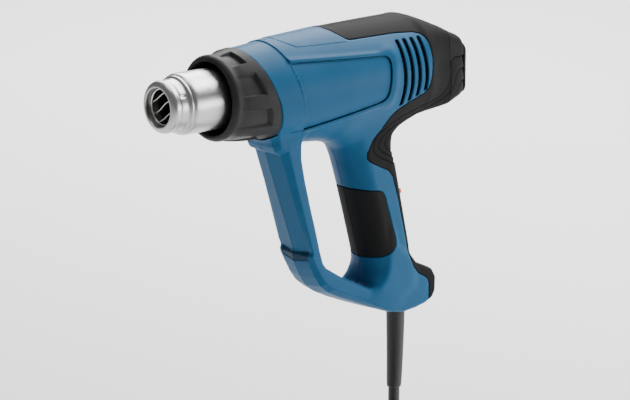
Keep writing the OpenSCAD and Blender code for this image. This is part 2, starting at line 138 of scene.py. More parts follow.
area_light("top_key", (0.85, -0.15, 1.1), (0.9, 0.7), 24)
area_light("top_fill", (-0.1, 0.1, 1.35), (0.8, 0.8), 8)
area_light("side_low", (0.85, -0.95, 0.03), (1.2, 0.34), 10)
area_light("floor_wash", (1.05, 1.25, 1.3), (1.6, 1.6), 90, (1.05, 1.25, 0))

world = bpy.data.worlds.new("studio")
world.use_nodes = True
world.node_tree.nodes["Background"].inputs[0].default_value = (1, 1, 1, 1)
world.node_tree.nodes["Background"].inputs[1].default_value = 0.22
bpy.context.scene.world = world

# ------------------------------------------------------------------ materials


# Sides of the label panel: normal in (x, z), and distance of the line along it in mm
LABEL_SIDES = (((0.052, 0.9986), 25.3), ((0.1904, -0.9817), 44.6), ((0.995, -0.1), 166.6))
LABEL_CORNER = 9.0
# Painted shadow of the groove round it, a thin dark line: its colour, and then its half width, place
# within the edge, front end, and least distance from the middle plane in metres
GROOVE_SHADOW_COLOUR = (0.0, 0.006, 0.012, 1)
GROOVE_HALF, GROOVE_IN, GROOVE_FRONT_X, GROOVE_FROM_Y = 0.28, 0.1, 94.0, 0.012
# Spread of the roughness, roughness of a clear coat, depth of the grain in metres
ROUGH_SPREAD, COAT_ROUGH, GRAIN_DEPTH = 0.05, 0.25, 0.0002


def label_edge_shadow_mask(nt, where):
    """Mask of the thin dark line of painted shadow round the label panel, at its recessed edge, by place
    on the gun.
    """

    def math_node(kind, a, b=None, c=None):
        """Result of a math node whose inputs are numbers or other results."""
        node = nt.nodes.new("ShaderNodeMath")
        node.operation = kind
        for socket, v in zip(node.inputs, (a, b, c)):
            if isinstance(v, (int, float)):
                socket.default_value = v
            elif v is not None:
                nt.links.new(v, socket)
        return node.outputs[0]

    split = nt.nodes.new("ShaderNodeSeparateXYZ")
    nt.links.new(where, split.inputs[0])
    x = math_node("MULTIPLY_ADD", split.outputs["X"], 1 / MM, GRIP_X)
    z = math_node("MULTIPLY_ADD", split.outputs["Z"], 1 / MM, GRIP_Z)
    sides = []
    for (nx, nz), d in LABEL_SIDES:
        sides.append(math_node("MULTIPLY_ADD", x, nx, math_node("MULTIPLY_ADD", z, nz, -d)))
    upper_lower = math_node("MAXIMUM", sides[0], sides[1])
    edge = math_node("SMOOTH_MAX", upper_lower, sides[2], LABEL_CORNER)
    off = math_node("ABSOLUTE", math_node("ADD", edge, GROOVE_IN))
    thin = math_node("LESS_THAN", off, GROOVE_HALF)
    behind = math_node("GREATER_THAN", x, GROOVE_FRONT_X)
    aside = math_node("GREATER_THAN", math_node("ABSOLUTE", split.outputs["Y"]), GROOVE_FROM_Y)
    return math_node("MULTIPLY", math_node("MULTIPLY", thin, behind), aside)


def finish_of(
    name,
    base,
    rough,
    metal=0.0,
    grain=0.0,
    grain_size=2500.0,
    mottle=0.05,
    mottle_size=60.0,
    coat=0.0,
    streak=None,
    gloss=0.5,
    label_edge_shadow=False,
    painted_shade=False,
):
    """Procedural finish: a slow change of tone and roughness, and a fine grain.

    The last but one option paints a thin dark line round the label panel, a painted shadow of its
    recessed edge. The last darkens the colour towards black by the mesh's own
    "dark" values, which are painted shade, and a mesh without them stays as it is.
    """
    m = bpy.data.materials.new(name)
    m.use_nodes = True
    nt = m.node_tree
    bsdf = nt.nodes["Principled BSDF"]
    bsdf.inputs["Metallic"].default_value = metal
    if coat:
        bsdf.inputs["Coat Weight"].default_value = coat
        bsdf.inputs["Coat Roughness"].default_value = COAT_ROUGH
    bsdf.inputs["Specular IOR Level"].default_value = gloss
    where = nt.nodes.new("ShaderNodeTexCoord").outputs["Object"]
    if streak:
        turn = nt.nodes.new("ShaderNodeMapping")
        turn.inputs["Scale"].default_value = streak
        nt.links.new(where, turn.inputs[0])
        where = turn.outputs[0]
    slow = nt.nodes.new("ShaderNodeTexNoise")
    slow.inputs["Scale"].default_value = mottle_size
    slow.inputs["Detail"].default_value = 4.0
    nt.links.new(where, slow.inputs["Vector"])
    tone = nt.nodes.new("ShaderNodeValToRGB")
    tone.color_ramp.elements[0].position = 0.3
    tone.color_ramp.elements[1].position = 0.7
    for e, k in zip(tone.color_ramp.elements, (1 - mottle, 1 + mottle)):
        e.color = (*[c * k for c in base], 1)
    nt.links.new(slow.outputs["Fac"], tone.inputs[0])
    colour = tone.outputs[0]
    # Painted shadow: a thin dark line round the label panel, where its recessed edge is shaded
    if label_edge_shadow:
        line = label_edge_shadow_mask(nt, where)
        edge_shadow_mix = nt.nodes.new("ShaderNodeMix")
        edge_shadow_mix.data_type = "RGBA"
        edge_shadow_mix.inputs["B"].default_value = GROOVE_SHADOW_COLOUR
        nt.links.new(line, edge_shadow_mix.inputs["Factor"])
        nt.links.new(colour, edge_shadow_mix.inputs["A"])
        colour = edge_shadow_mix.outputs["Result"]
    # Painted shade: black mixed in by the mesh's "dark" values
    if painted_shade:
        dark = nt.nodes.new("ShaderNodeAttribute")
        dark.attribute_name = "dark"
        dim = nt.nodes.new("ShaderNodeMix")
        dim.data_type = "RGBA"
        dim.inputs["B"].default_value = (0, 0, 0, 1)
        nt.links.new(colour, dim.inputs["A"])
        nt.links.new(dark.outputs["Fac"], dim.inputs["Factor"])
        colour = dim.outputs["Result"]
    nt.links.new(colour, bsdf.inputs["Base Color"])
    level = nt.nodes.new("ShaderNodeMapRange")
    level.inputs["To Min"].default_value = rough - ROUGH_SPREAD
    level.inputs["To Max"].default_value = rough + ROUGH_SPREAD
    nt.links.new(slow.outputs["Fac"], level.inputs["Value"])
    nt.links.new(level.outputs[0], bsdf.inputs["Roughness"])
    if grain:
        fine = nt.nodes.new("ShaderNodeTexNoise")
        fine.inputs["Scale"].default_value = grain_size
        fine.inputs["Detail"].default_value = 2.0
        nt.links.new(where, fine.inputs["Vector"])
        bump = nt.nodes.new("ShaderNodeBump")
        bump.inputs["Strength"].default_value = grain
        bump.inputs["Distance"].default_value = GRAIN_DEPTH
        nt.links.new(fine.outputs["Fac"], bump.inputs["Height"])
        nt.links.new(bump.outputs[0], bsdf.inputs["Normal"])
    return m


LOOKS = {
    "housing_blue": dict(
        base=(0.014, 0.098, 0.21), rough=0.46, grain=0.35, gloss=0.1, label_edge_shadow=True, painted_shade=True
    ),
    "soft_grip": dict(
        base=(0.0165, 0.0165, 0.0167), rough=0.62, grain=0.5, grain_size=3200, gloss=0.05, painted_shade=True
    ),
    "rear_plastic": dict(base=(0.0165, 0.0165, 0.0167), rough=0.55, grain=0.4, gloss=0.06, painted_shade=True),
    "guard_plastic": dict(base=(0.033, 0.033, 0.0332), rough=0.42, grain=0.6, gloss=0.08),
    "nozzle_steel": dict(base=(0.52, 0.52, 0.515), rough=0.3, metal=1.0, streak=(30, 1, 1), grain=0.2),
    "bar_steel": dict(base=(0.75, 0.75, 0.74), rough=0.25, metal=1.0),
    "mica": dict(base=(0.03, 0.027, 0.024), rough=0.5, mottle=0.2, mottle_size=200),
    "ceramic": dict(base=(0.72, 0.68, 0.6), rough=0.75, grain=0.4, grain_size=900),
    "heater_wire": dict(base=(0.36, 0.33, 0.3), rough=0.4, metal=1.0, mottle=0.2, mottle_size=300),
    "motor_steel": dict(base=(0.52, 0.53, 0.54), rough=0.33, metal=1.0, streak=(1, 30, 30)),
    "magnet": dict(base=(0.06, 0.06, 0.065), rough=0.6, metal=0.2, mottle=0.2, mottle_size=500),
    "copper": dict(base=(0.72, 0.3, 0.13), rough=0.3, metal=1.0, mottle=0.15, mottle_size=800),
    "shaft_steel": dict(base=(0.66, 0.67, 0.68), rough=0.2, metal=1.0, streak=(1, 40, 40)),
    "bronze": dict(base=(0.5, 0.33, 0.16), rough=0.45, metal=1.0, mottle=0.2, mottle_size=700),
    "dark_plastic": dict(base=(0.012, 0.012, 0.013), rough=0.55, grain=0.4),
    "board": dict(base=(0.02, 0.16, 0.06), rough=0.4, mottle=0.15, mottle_size=300, coat=0.4),
    "components": dict(base=(0.03, 0.03, 0.035), rough=0.45, mottle=0.5, mottle_size=150),
    "heat_sink": dict(base=(0.6, 0.6, 0.62), rough=0.42, metal=1.0, streak=(1, 1, 20)),
    "lens": dict(base=(0.06, 0.07, 0.07), rough=0.08, mottle=0.02, coat=0.8),
    "lcd": dict(base=(0.3, 0.36, 0.27), rough=0.3, mottle=0.04, mottle_size=200),
    "red_switch": dict(base=(0.85, 0.012, 0.014), rough=0.38, grain=0.2, coat=0.2),
    "key_plastic": dict(base=(0.05, 0.05, 0.052), rough=0.5, grain=0.3),
    "screw_steel": dict(base=(0.5, 0.5, 0.52), rough=0.3, metal=1.0, mottle=0.1, mottle_size=500),
    "wire_red": dict(base=(0.5, 0.02, 0.02), rough=0.45),
    "wire_white": dict(base=(0.7, 0.7, 0.68), rough=0.5),
    "lead_rubber": dict(base=(0.014, 0.014, 0.0145), rough=0.55, grain=0.4),
    "tie": dict(base=(0.03, 0.03, 0.03), rough=0.7, grain=0.5, grain_size=1200),
    "plug_rubber": dict(base=(0.02, 0.02, 0.021), rough=0.5, grain=0.4),
    "pin_metal": dict(base=(0.7, 0.62, 0.45), rough=0.25, metal=1.0, mottle=0.06, mottle_size=500),
}
FINISH = {name: finish_of(name, **look) for name, look in LOOKS.items()}

# ------------------------------------------------------------------ mesh helpers


def add_piece(name, verts, faces, slot, nodes, body="gun"):
    """A closed mesh from millimetre points, which stands for CAD nodes."""
    data = bpy.data.meshes.new(name)
    data.from_pydata(rows(verts).tolist(), [], [list(f) for f in faces])
    data.update()
    obj = bpy.data.objects.new(name, data)
    bpy.context.collection.objects.link(obj)
    data.polygons.foreach_set("use_smooth", [True] * len(data.polygons))
    data.materials.append(FINISH[slot])
    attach(obj, body)
    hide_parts(*nodes)
    return obj


# ------------------------------------------------------------------ distance fields


def smin(a, b, k):
    """The smaller field, blended over k."""
    h = np.maximum(k - np.abs(a - b), 0.0)
    return np.minimum(a, b) - h * h / (4 * k)


def smax(a, b, k):
    """The larger field, blended over k."""
    h = np.maximum(k - np.abs(a - b), 0.0)
    return np.maximum(a, b) + h * h / (4 * k)


def ramp(v, lo, hi):
    """Soft step from 0 at lo to 1 at hi."""
    t = np.clip((v - lo) / (hi - lo), 0.0, 1.0)
    return t * t * (3 - 2 * t)


def profile(points, soft):
    """Function of place through (place, value) points, rounded over soft."""
    px, pv = np.array(points, float).T
    at = np.arange(px[0] - 6 * soft, px[-1] + 6 * soft, 0.25)
    kernel = np.exp(-0.5 * (np.arange(-3 * soft, 3 * soft + 0.1, 0.25) / soft) ** 2)
    pad = len(kernel) // 2
    v = np.interp(at, px, pv)
    v = np.convolve(np.pad(v, pad, mode="edge"), kernel / kernel.sum(), "valid")
    v = v[: len(at)]
    return lambda x: np.interp(x, at, v)


class Outline:
    """Side-view outline: signed distance in the X-Z plane, negative inside.

    It is kept on a grid, and its corners are rounded over soft.
    """

    X0, Z0, STEP, NX, NZ = -6.0, -184.0, 0.6, 444, 396

    def __init__(self, points, soft):
        """Distances on the grid, with a sign from the crossings of each row, then a blur."""
        x = (self.X0 + self.STEP * np.arange(self.NX))[:, None]
        z = (self.Z0 + self.STEP * np.arange(self.NZ))[None, :]
        best = np.full((self.NX, self.NZ), 1e9)
        inside = np.zeros((self.NX, self.NZ), bool)
        for (ax, az), (bx, bz) in zip(points, points[1:] + points[:1]):
            dx, dz = bx - ax, bz - az
            t = np.clip(((x - ax) * dx + (z - az) * dz) / (dx * dx + dz * dz), 0, 1)
            best = np.minimum(best, (x - ax - t * dx) ** 2 + (z - az - t * dz) ** 2)
            if dz:
                inside ^= ((z >= min(az, bz)) & (z < max(az, bz))) & (x < ax + (z - az) * dx / dz)
        field = np.sqrt(best) * np.where(inside, -1.0, 1.0)
        n = int(3 * soft / self.STEP) + 1
        kernel = np.exp(-0.5 * (np.arange(-n, n + 1) * self.STEP / soft) ** 2)
        kernel /= kernel.sum()
        for axis in (0, 1):
            pads = [(n, n) if i == axis else (0, 0) for i in (0, 1)]
            wide = np.pad(field, pads, mode="edge")
            field = sum(
                k * np.take(wide, np.arange(i, i + field.shape[axis]), axis)
                for i, k in enumerate(kernel)
            )
        self.field = field.astype(np.float32)

    def __call__(self, x, z):
        """Distance at any place, from the four grid points round it."""
        u = np.clip((x - self.X0) / self.STEP, 0, self.NX - 1.001)
        v = np.clip((z - self.Z0) / self.STEP, 0, self.NZ - 1.001)
        i, j = u.astype(int), v.astype(int)
        a, b = u - i, v - j
        f = self.field
        low = f[i, j] * (1 - a) + f[i + 1, j] * a
        high = f[i, j + 1] * (1 - a) + f[i + 1, j + 1] * a
        return low * (1 - b) + high * b


def mesh_of(field, low, high, cell):
    """Points and quads over a field's zero surface."""
    axes = [np.arange(a, b + cell, cell, dtype=np.float32) for a, b in zip(low, high)]
    x, y, z = axes[0][:, None, None], axes[1][None, :, None], axes[2][None, None, :]
    values = np.clip(field(x, y, z), -3 * cell, 3 * cell).astype(np.float32)
    values = np.array(np.broadcast_to(values, [len(a) for a in axes]), np.float32, order="C")
    grid = openvdb.FloatGrid(3 * cell)
    grid.copyFromArray(values)
    points, quads = grid.convertToQuads(0.0)
    points = points * cell + np.array([a[0] for a in axes])
    return settle(field, points, cell), np.asarray(quads)


def slope(field, p, step):
    """Gradient of a field at points."""
    g = np.empty_like(p)
    for axis in range(3):
        d = np.zeros(3)
        d[axis] = step
        hi, lo = (p + d).T, (p - d).T
        g[:, axis] = (field(*hi) - field(*lo)) / (2 * step)
    return g


def settle(field, p, cell, rounds=3):
    """Moves points onto the zero surface, no further than the mesh is coarse."""
    p = np.array(p, float)
    for _ in range(rounds):
        g = slope(field, p, 0.12)
        size = np.maximum((g * g).sum(1), 0.2)
        move = -(field(*p.T) / size)[:, None] * g
        far = np.linalg.norm(move, axis=1)[:, None]
        p += move * np.minimum(1.0, 0.4 * cell / np.maximum(far, 1e-9))
    return p


def field_piece(name, field, low, high, slot, nodes, body="gun", cell=CELL, twin=None, dark=None):
    """A piece from a field, with the field's own normals.

    twin is the name and the nodes of its mirror image on the other side, and dark is the
    field of the painted shade that the finish reads from the mesh.
    """
    p, quads = mesh_of(field, low, high, cell)
    made = [(name, 1, nodes)]
    if twin:
        made.append((twin[0], -1, twin[1]))
    for label, sign, stands_for in made:
        q = p * np.array((1, sign, 1))
        f = quads if sign > 0 else quads[:, ::-1]
        obj = add_piece(label, q, f, slot, stands_for, body)
        if 2 * len(quads) > MOST_FACES:
            m = obj.modifiers.new("thin", "DECIMATE")
            m.ratio = MOST_FACES / (2 * len(quads))
            deps = bpy.context.evaluated_depsgraph_get()
            data = bpy.data.meshes.new_from_object(obj.evaluated_get(deps))
            obj.modifiers.clear()
            old, obj.data = obj.data, data
            bpy.data.meshes.remove(old)
        co = np.empty(len(obj.data.vertices) * 3)
        obj.data.vertices.foreach_get("co", co)
        w = co.reshape(-1, 3) / MM + np.array((GRIP_X, 0, GRIP_Z))
        w[:, 1] *= sign
        w = settle(field, w, cell, 1)
        n = slope(field, w, 0.18)
        n /= np.maximum(np.linalg.norm(n, axis=1)[:, None], 1e-9)
        # Painted shade, kept on the points for the finish to read
        if dark:
            dim = obj.data.attributes.new("dark", "FLOAT", "POINT")
            dim.data.foreach_set("value", dark(*w.T).astype(np.float32))
        w[:, 1] *= sign
        n[:, 1] *= sign
        obj.data.vertices.foreach_set("co", rows(w).ravel())
        obj.data.update()
        obj.data.polygons.foreach_set("use_smooth", [True] * len(obj.data.polygons))
        obj.data.normals_split_custom_set_from_vertices(n.tolist())


# ------------------------------------------------------------------ form of the gun

# Half width and half height of the barrel along X, alike in front of the vents
BARREL_FRONT = [
    (50, 30.0), (72, 31.3), (86, 32.5), (96, 33.2), (113, 34), (134, 35.1), (155, 35.6),
]
SIDE = profile(
    BARREL_FRONT
    + [
        (184, 36.1), (202, 36.2), (206, 35.6), (210, 33.2), (215, 30.7), (221, 28.9), (227, 28.1),
        (236, 27.4), (246, 26.2), (252, 25.6),
    ],
    1.2,
)
TOP = profile(
    BARREL_FRONT
    + [
        (184, 36.1), (206, 36.3), (212, 34.1), (219, 30.8), (226, 27.5), (233, 23.8), (238, 21.5),
        (242, 20.2), (248, 19.0), (252, 18.6),
    ],
    1.5,
)
UNDER = profile(
    BARREL_FRONT
    + [
        (172, 35.8), (184, 34.0), (196, 31.0), (206, 28.4), (218, 26.0), (229, 24.4), (246, 23.4),
        (252, 23.2),
    ],
    2.0,
)
# How square the barrel is: 2 is round
SQUARE = profile([(50, 2.0), (203, 2.0), (212, 2.8), (220, 4.0), (228, 5.2), (252, 5.4)], 2.0)
# Seam between the front ring and the body: X by Z
BAND_SEAM = profile(
    [
        (-60, 105), (-33, 104.6), (-24, 102), (-15, 99), (-4, 95), (6, 92), (13, 90.2), (21, 88.5),
        (27, 86.5), (33, 85), (40, 84),
    ],
    1.5,
)

# Neck and grip with its root in the barrel
GRIP = Outline(
    [
        (108, -12), (108, -36), (118, -38), (130, -39.6), (139, -42.4), (146, -48.4), (150, -57),
        (155.5, -74), (163.2, -100), (170.4, -125), (171.6, -134), (170, -142), (170, -152),
        (190, -158), (206, -150), (206.5, -139), (203.6, -127), (202.8, -120), (198, -98.5),
        (193.4, -78), (190.2, -64), (187.4, -53), (185.4, -46), (185.4, -41), (188, -36.6),
        (194.5, -32.6), (204, -29.2), (216, -26.6), (228, -23.6), (234, -16), (232, -6),
    ],
    1.6,
)
# Outer edge of the bar, the lower bar and the heel
FRAME_OUT = Outline(
    [
        (86, -28), (88.8, -43), (100.2, -76.4), (112.6, -111.8), (111.2, -114.6), (112.8, -119.8),
        (115, -125), (118.4, -131.4), (123.6, -138.6), (130.8, -144.4), (142, -149.9), (157, -156.1),
        (172, -161.9), (187, -167.1), (197, -168.8), (208, -167.8), (217.5, -165.8), (224, -162.6),
        (227, -157.5), (227.3, -147), (223.6, -140.6), (208.6, -133.6), (203.4, -129.6), (196, -126),
        (188, -118), (184, -108), (150, -60), (120, -20),
    ],
    0.35,
)
# Finger loop
LOOP = Outline(
    [
        (106.4, -10), (106.4, -47), (109.4, -62), (115, -84), (118.4, -96), (122.4, -112),
        (125, -120.4), (128, -124.6), (142, -133.4), (155, -140), (166, -145.6), (173, -147),
        (178.5, -143.5), (182, -135), (184, -122), (184.5, -90), (190, -10),
    ],
    0.8,
)
# Chin below the guard, where the bar starts
CHIN = Outline([(80.5, -20), (83.4, -36.6), (85.6, -40.4), (91.5, -43.4), (106, -43.4), (106, -20)], 0.3)
# Soft-touch skin: barrel top, rear end, back of the grip, heel
SOFT = Outline(
    [
        (133.4, 60), (133.8, 35.5), (137, 32.6), (141, 29), (143.5, 28.2), (161, 28.2), (182, 28.2),
        (197, 27.2), (202, 25.8), (204.4, 23), (205.2, 19), (205.2, 12), (204.3, 4), (203, -4),
        (201.6, -9.5), (198.5, -12.6), (186, -17.4), (178, -21.8), (174, -26), (170.6, -35),
        (165, -43), (161.4, -50.5), (161.4, -54.6), (164, -57.4), (171, -61), (180, -65.2),
        (184, -69.6), (186, -76), (189.5, -87), (194.6, -107), (200, -129), (203.4, -136),
        (208.4, -141.6), (215, -145.2), (217.6, -147.4), (218.8, -151), (219, -180), (262, -180),
        (262, 60),
    ],
    0.5,
)
# Grip pad
PAD = Outline(
    [
        (138, -68.5), (146.5, -72.6), (156, -76), (166, -77.4), (172, -77.9), (175.4, -79.4),
        (177.8, -83), (182.6, -98), (187, -113.4), (187.2, -118), (184.6, -122), (178, -125.6),
        (169, -127.4), (160, -127.6), (150, -127),
    ],
    0.9,
)
# Fronts of the three stepped levels at the rear end and in the web
TERRACES = [
    Outline(points, 0.7)
    for points in (
        [
            (262, 6.4), (231, 6.4), (228, 4), (226.4, -6), (222.5, -13), (215, -18.4), (201, -22),
            (184, -27), (176, -32), (168.6, -39.4), (165.8, -46), (166.6, -51), (172, -55.2),
            (183, -60.4), (194, -62), (262, -50),
        ],
        [
            (262, -2), (236, -2), (232.6, -4.6), (229.8, -12), (223.5, -18), (212, -22.8), (196, -27),
            (184, -31.4), (177.6, -36.4), (172, -42), (170, -47.4), (174, -51.6), (184, -56.8),
            (194, -58), (262, -50),
        ],
        [
            (262, -10.4), (238, -10.4), (235, -13), (231.6, -19), (221, -23.6), (206, -27.4),
            (192, -31.6), (183, -36), (177.6, -41.6), (175.6, -46.4), (179, -50.4), (186, -53.6),
            (194, -54.4), (262, -46),
        ],
    )
]
# Low plate on the barrel top
PLATE = Outline([(101, 28.6), (150, 27.8), (150, 60), (84, 60), (90, 36), (94.5, 32)], 0.5)
LABEL_STEP, RING_STEP, PLATE_STEP = 1.05, 0.75, 0.3
# Blends: grip into barrel, bar into both. The bar's face folds this far from the middle
GRIP_BLEND, BAR_BLEND, FOLD_AT = 13.0, 5.0, 13.0
REAR_ROUND = 6.0
# Stripe recessed across the front of the bar, which painted shade darkens: top at its ends, height, drop
# in the middle, step
STRIPE_Z, STRIPE_H, STRIPE_DROP, STRIPE_STEP = -111.0, 6.6, 2.2, 0.4
# How far painted shade darkens the recessed stripe, the inner faces and the grooves of the contour lines
STRIPE_SHADE, INNER_SHADE, CONTOUR_SHADE = 0.62, 0.95, 0.8


def panel(x, z):
    """Label panel in the side view, with the same round corners as the painted shadow line round it."""
    upper, lower, rear = (nx * x + nz * z - d for (nx, nz), d in LABEL_SIDES)
    edge = np.maximum(upper, lower)
    h = np.maximum(LABEL_CORNER - np.abs(edge - rear), 0.0) / LABEL_CORNER
    return np.maximum(edge, rear) + h**3 * LABEL_CORNER / 6


def gun_form(x, y, z):
    """Outer surface of the housing and everything moulded over it."""
    w = np.abs(y)
    n, side = SQUARE(x), SIDE(x)
    tall = np.where(z > 0, TOP(x), UNDER(x))
    a = np.maximum(w / side, 1e-4)
    b = np.maximum(np.abs(z) / tall, 1e-4)
    ring = ramp(BAND_SEAM(z) - x, -0.25, 0.25) * ramp(z, -6, 4) * RING_STEP
    barrel = ((a**n + b**n) ** (1 / n) - 1) * np.minimum(side, tall) + ring
    barrel = smax(barrel, x - (REAR_X - 1.6), REAR_ROUND)

    # Grip and neck: round in front, flatter at the back, wider towards the rear end
    lean = x - (BACK_TOP[0] + (BACK_TOP[1] - z) * math.tan(BACK_LEAN))
    half_w = GRIP_HALF_W + 6.0 * ramp(z, -54, -24) * ramp(x, 150, 190) - 3.0 * ramp(-x, -142, -128)
    round_k = 8.0 + 14.0 * ramp(-lean, 12, 34) * ramp(z, -150, -128)
    grip = smax(GRIP(x, z), w - half_w, round_k)
    form = smin(barrel, grip, GRIP_BLEND)

    # Closed bar in front of the hand and below it, with a folded face, and the chin
    edge = np.interp(z, (-150, -124, -108, -44), (0.9, 0.55, 0.1, 1.0))
    near, far = np.minimum(w, FOLD_AT), np.maximum(w - FOLD_AT, 0.0)
    fold = 0.15 * near + far * edge
    heel = ramp(x, 150, 185)
    outer = (FRAME_OUT(x, z) + fold * (1 - 0.75 * heel)) * 0.96
    bar = smax(outer, w - BAR_HALF_W - 1.6 * heel, 1.0 + 1.6 * heel)
    bar = smax(bar, -LOOP(x, z), 3.0)
    chin = smax(CHIN(x, z) + 0.04 * near + 0.9 * far, w - BAR_HALF_W, 1.0)
    form = smin(form, smin(bar, chin, 0.6), BAR_BLEND)

    # Recessed label panel with a raised rim that is wider behind it
    label = np.maximum(panel(x, z), BAND_SEAM(z) + 0.3 - x)
    sides = ramp(w, 8, 14)
    width = 1.3 + 1.7 * ramp(x, 158, 168)
    rim = 0.75 * np.exp(-(((label - 0.6 - width) / width) ** 2)) * ramp(x - BAND_SEAM(z), -1, 1)
    form = form + (LABEL_STEP * ramp(-label, -0.3, 0.3) - rim) * sides

    # Stepped contour lines that run from the rear end into the web behind the grip
    steps = 0.0
    for t in TERRACES:
        d = t(x, z)
        high = 0.35 + 0.5 * ramp(x, 196, 212)
        steps = steps + high * ramp(-d, -0.25, 0.25) * np.exp(np.minimum(d, 0) / 4.0)
        steps = steps + 0.3 * np.exp(-((d / 0.45) ** 2))
    form = form + steps * ramp(w, 3, 9)
    form = form - PLATE_STEP * ramp(-PLATE(x, z), -0.25, 0.25) * ramp(-x, -142, -138)
    return form + STRIPE_STEP * ramp(-stripe(x, w, z), -0.3, 0.3)


def stripe(x, w, z):
    """Recessed stripe across the front of the bar, which painted shade darkens: negative inside."""
    mid = STRIPE_Z - STRIPE_H / 2 - STRIPE_DROP * (1 - w / FOLD_AT)
    return np.maximum(np.maximum(np.abs(z - mid) - STRIPE_H / 2, w - FOLD_AT - 0.2), x - 119)


def contour_painted_shade(x, y, z):
    """Painted shade along the grooves of the contour lines of the rear end and the web: how dark the
    skin is there.
    """
    near = np.min([np.abs(t(x, z)) for t in TERRACES], axis=0)
    return CONTOUR_SHADE * np.exp(-((near / 0.5) ** 2)) * ramp(np.abs(y), 3, 9)


def housing_painted_shade(x, y, z):
    """Painted shade of the housing: how dark it is in the recessed stripe and on its inner faces."""
    # Inner faces get painted shade from this depth under the outer surface, less deep near the vents
    near_vent = (x > VENT_X - 5) & (np.abs(y) > 19) & (z > -24)
    start = np.where(near_vent, 0.5, 2.25)
    inner = ramp(-gun_form(x, y, z) - start, 0, 0.7)
    band = ramp(-stripe(x, np.abs(y), z), -0.3, 0.3)
    return 1 - (1 - STRIPE_SHADE * band) * (1 - INNER_SHADE * inner)


def cuts(x, y, z):
    """Vent slots, controls in the back of the grip and the lead's way out: negative inside."""
    w = np.abs(y)
    out = 1e3
    for i, low_z in enumerate(VENT_LOW_Z):
        across = x - VENT_X - i * VENT_PITCH
        ends = smax(z - VENT_TOP_Z, low_z + VENT_CLIMB * across - z, 1.5)
        slot = smax(np.abs(across) - VENT_W / 2, ends, 1.0)
        out = np.minimum(out, smax(slot, VENT_FROM_W - w, 1.0))
    s, up = back_frame(x, z)
    for at, length, width, depth in BACK_CUTS:
        plate = smax(np.abs(s - at) - length / 2, w - width / 2, 3.0)
        out = np.minimum(out, np.maximum(plate, -depth - up))
    hole = np.maximum(np.hypot(x - CORD_X, y) - LEAD_HOLE_R, z - LEAD_HOLE_TOP)
    return np.minimum(out, hole)


def bore(x, y, z):
    """Steel tube's way in at the front: negative inside."""
    return np.maximum(np.hypot(y, z) - BORE_R, x - BORE_END_X)


def cap_window(x, y, z):
    """Recess in the rear end cap for the intake grille: negative inside."""
    plate = smax(np.abs(y) - WINDOW_HALF_W, np.abs(z - CAP_Z) - WINDOW_HALF_H, 4.0)
    return np.maximum(plate, WINDOW_X - x)


def before_seam(x, z, gap):
    """Distance in front of the slanted seam at the guard, moved rearward by gap."""
    return (SEAM_X + gap - x) * math.cos(SEAM_LEAN) - z * math.sin(SEAM_LEAN)


def under_guard(x, y, z):
    """The housing ends at the seam, but its chin goes on below the guard."""
    return np.minimum(before_seam(x, z, 0.0), CHIN_R - np.hypot(y, z))


class Kept:
    """Keeps the last dense result of a field, as every moulded piece starts from it."""

    def __init__(self, field):
        self.field = field
        self.forget()

    def forget(self):
        """Frees the result."""
        self.key, self.value = None, None

    def __call__(self, x, y, z):
        """The field, computed once for each dense grid."""
        if x.ndim != 3:
            return self.field(x, y, z)
        key = (x.shape, y.shape, z.shape, float(x.flat[0]), float(y.flat[0]), float(z.flat[0]))
        if key != self.key:
            self.key, self.value = key, self.field(x, y, z)
        return self.value


form_of, cuts_of = Kept(gun_form), Kept(cuts)


def housing_field(x, y, z):
    """Right housing half, which makes room for the skin and the pad."""
    f = form_of(x, y, z)
    skin = np.minimum(SOFT(x, z), PAD(x, z))
    top = f + (SKIN + 0.12) * ramp(-skin, -0.16, 0.1)
    shell = smax(top, -(f + WALL), 0.3)
    shell = smax(shell, under_guard(x, y, z), 0.5)
    shell = smax(shell, -np.minimum(cuts_of(x, y, z), bore(x, y, z)), 0.5)
    shell = np.maximum(shell, np.minimum(x - BLUE_END_X, z - BLUE_END_Z))
    return smax(shell, HALF_GAP - y, 0.4)


def soft_field(x, y, z):
    """Right half of the soft-touch skin."""
    f = form_of(x, y, z)
    skin = smax(smax(f, SOFT(x, z) + 0.14, 0.9), -(f + SKIN), 0.3)
    skin = smax(skin, -cuts_of(x, y, z), 0.6)
    skin = np.maximum(skin, np.minimum(x - CAP_FACE_X, z - CAP_LOW_Z))
    return smax(skin, HALF_GAP - y, 0.3)


def pad_field(x, y, z):
    """Right half of the grip pad."""
    f = form_of(x, y, z)
    skin = smax(smax(f, PAD(x, z) + 0.16, 1.0), -(f + SKIN), 0.3)
    return smax(skin, HALF_GAP - y, 0.3)


def cap_field(x, y, z):
    """Rear end cap, one shell over both sides."""
    f = gun_form(x, y, z)
    f = smax(f, CAP_FACE_X + 0.15 - x, 0.4)
    f = smax(f, CAP_LOW_Z - z, 0.5)
    shell = smax(f, -(f + WALL), 0.4)
    return smax(shell, -cap_window(x, y, z), 0.8)


# The moulded pieces of the right side, and their twins of the left
LOW, HIGH = (62.0, -2.4, -172.0), (249.0, 39.0, 39.5)
# Each row ends with the field of painted shade that its finish reads
for part, field, slot, dark in (
    ("housing", housing_field, "housing_blue", housing_painted_shade),
    ("overmould", soft_field, "soft_grip", contour_painted_shade),
    ("grip_pad", pad_field, "soft_grip", None),
):
    twin = part + "_left", ["left_" + part]
    field_piece(part + "_right", field, LOW, HIGH, slot, ["right_" + part], twin=twin, dark=dark)
form_of.forget()
cuts_of.forget()
CAP_BOX = (225.0, -32.0, -32.0), (249.0, 32.0, 32.0)
# The cap's contour grooves get painted shade too
field_piece(
    "rear_end_cap", cap_field, *CAP_BOX, "rear_plastic", ["rear_cap"], cell=CELL * 0.9, dark=contour_painted_shade
)

# ------------------------------------------------------------------ heat guard and nozzle

